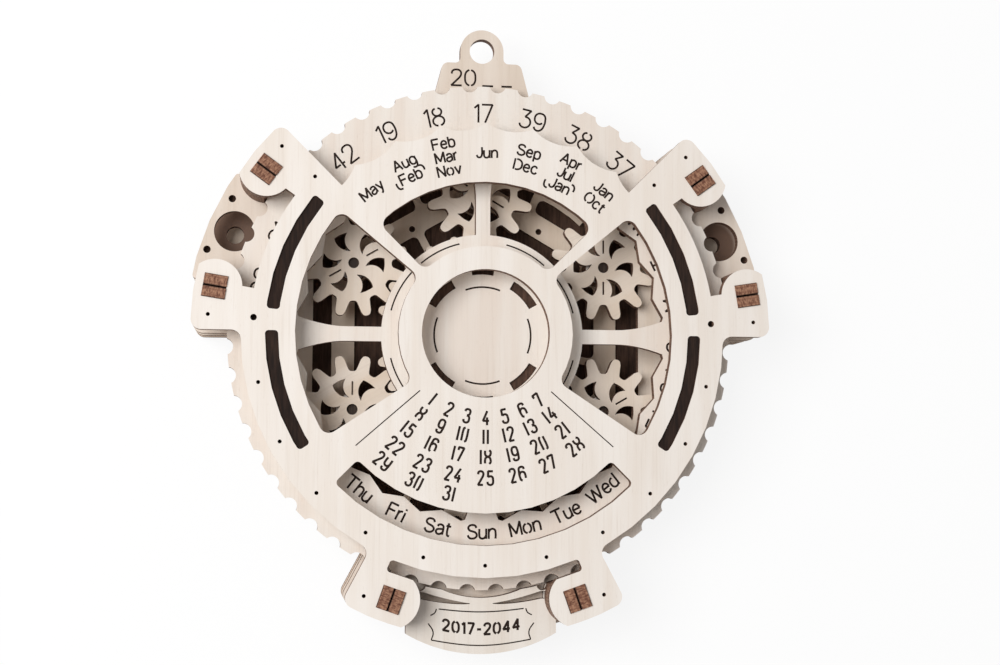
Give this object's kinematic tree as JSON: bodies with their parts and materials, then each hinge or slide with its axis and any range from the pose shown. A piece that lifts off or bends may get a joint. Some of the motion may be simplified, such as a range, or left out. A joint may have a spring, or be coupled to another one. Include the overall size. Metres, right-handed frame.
{
  "type": "perpetual calendar",
  "caption": "Laser-cut plywood perpetual calendar: a year and weekday wheel turns a sun gear and planets behind a front plate with month and date scales.",
  "frame": {"origin": "on the wheel's axis, at the rear face of the back plate", "axes": "+X to the dial's right, +Y up the dial towards the hanging loop, +Z out of the dial's face"},
  "size_m": [0.1634, 0.1788, 0.0304],
  "materials": {
    "birch": "pale sanded birch plywood",
    "char": "plywood darkened by the laser",
    "end_grain": "plywood edge, browned by the laser"
  },
  "bodies": {
    "frame": {"front_plate": "birch", "planet_pillars": "birch", "center_axle": "birch", "center_pillar": "birch", "mid_frame": "birch", "gear_frame": "birch", "back_plate": "birch", "detent_plate": "birch", "spacer_side_right": "birch", "spacer_upper_right": "birch", "spacer_upper_left": "birch", "spacer_side_left": "birch", "spacer_foot_left": "birch", "spacer_foot_right": "birch", "shim_foot_left": "birch", "shim_foot_right": "birch", "rear_spacers": "birch", "back_spacers": "birch", "planet_axles": "char", "hub_washer": "char", "clip_side_right": "end_grain", "clip_upper_right": "end_grain", "clip_upper_left": "end_grain", "clip_side_left": "end_grain", "clip_foot_left": "end_grain", "clip_foot_right": "end_grain"},
    "wheel": {"calendar_wheel": "birch", "hub_drum": "birch", "sun_gear": "birch"},
    "planet_1": {"planet_gear_1": "birch"},
    "planet_2": {"planet_gear_2": "birch"},
    "planet_3": {"planet_gear_3": "birch"},
    "planet_4": {"planet_gear_4": "birch"},
    "planet_5": {"planet_gear_5": "birch"},
    "planet_6": {"planet_gear_6": "birch"}
  },
  "joints": [
    {"name": "wheel_turn", "type": "hinge", "parent": "frame", "child": "wheel", "pos_m": [0, 0, 0.02], "axis": [0, 0, 1], "continuous": true},
    {"name": "planet_1_turn", "type": "hinge", "parent": "frame", "child": "planet_1", "pos_m": [0.03637, 0.021, 0.0123], "axis": [0, 0, 1], "continuous": true},
    {"name": "planet_2_turn", "type": "hinge", "parent": "frame", "child": "planet_2", "pos_m": [0, 0.042, 0.0123], "axis": [0, 0, 1], "continuous": true},
    {"name": "planet_3_turn", "type": "hinge", "parent": "frame", "child": "planet_3", "pos_m": [-0.03637, 0.021, 0.0123], "axis": [0, 0, 1], "continuous": true},
    {"name": "planet_4_turn", "type": "hinge", "parent": "frame", "child": "planet_4", "pos_m": [-0.03637, -0.021, 0.0123], "axis": [0, 0, 1], "continuous": true},
    {"name": "planet_5_turn", "type": "hinge", "parent": "frame", "child": "planet_5", "pos_m": [0, -0.042, 0.0123], "axis": [0, 0, 1], "continuous": true},
    {"name": "planet_6_turn", "type": "hinge", "parent": "frame", "child": "planet_6", "pos_m": [0.03637, -0.021, 0.0123], "axis": [0, 0, 1], "continuous": true}
  ],
  "couplings": [
    {"joint": "planet_1_turn", "follows": "wheel_turn", "ratio": -2},
    {"joint": "planet_2_turn", "follows": "wheel_turn", "ratio": -2},
    {"joint": "planet_3_turn", "follows": "wheel_turn", "ratio": -2},
    {"joint": "planet_4_turn", "follows": "wheel_turn", "ratio": -2},
    {"joint": "planet_5_turn", "follows": "wheel_turn", "ratio": -2},
    {"joint": "planet_6_turn", "follows": "wheel_turn", "ratio": -2}
  ]
}
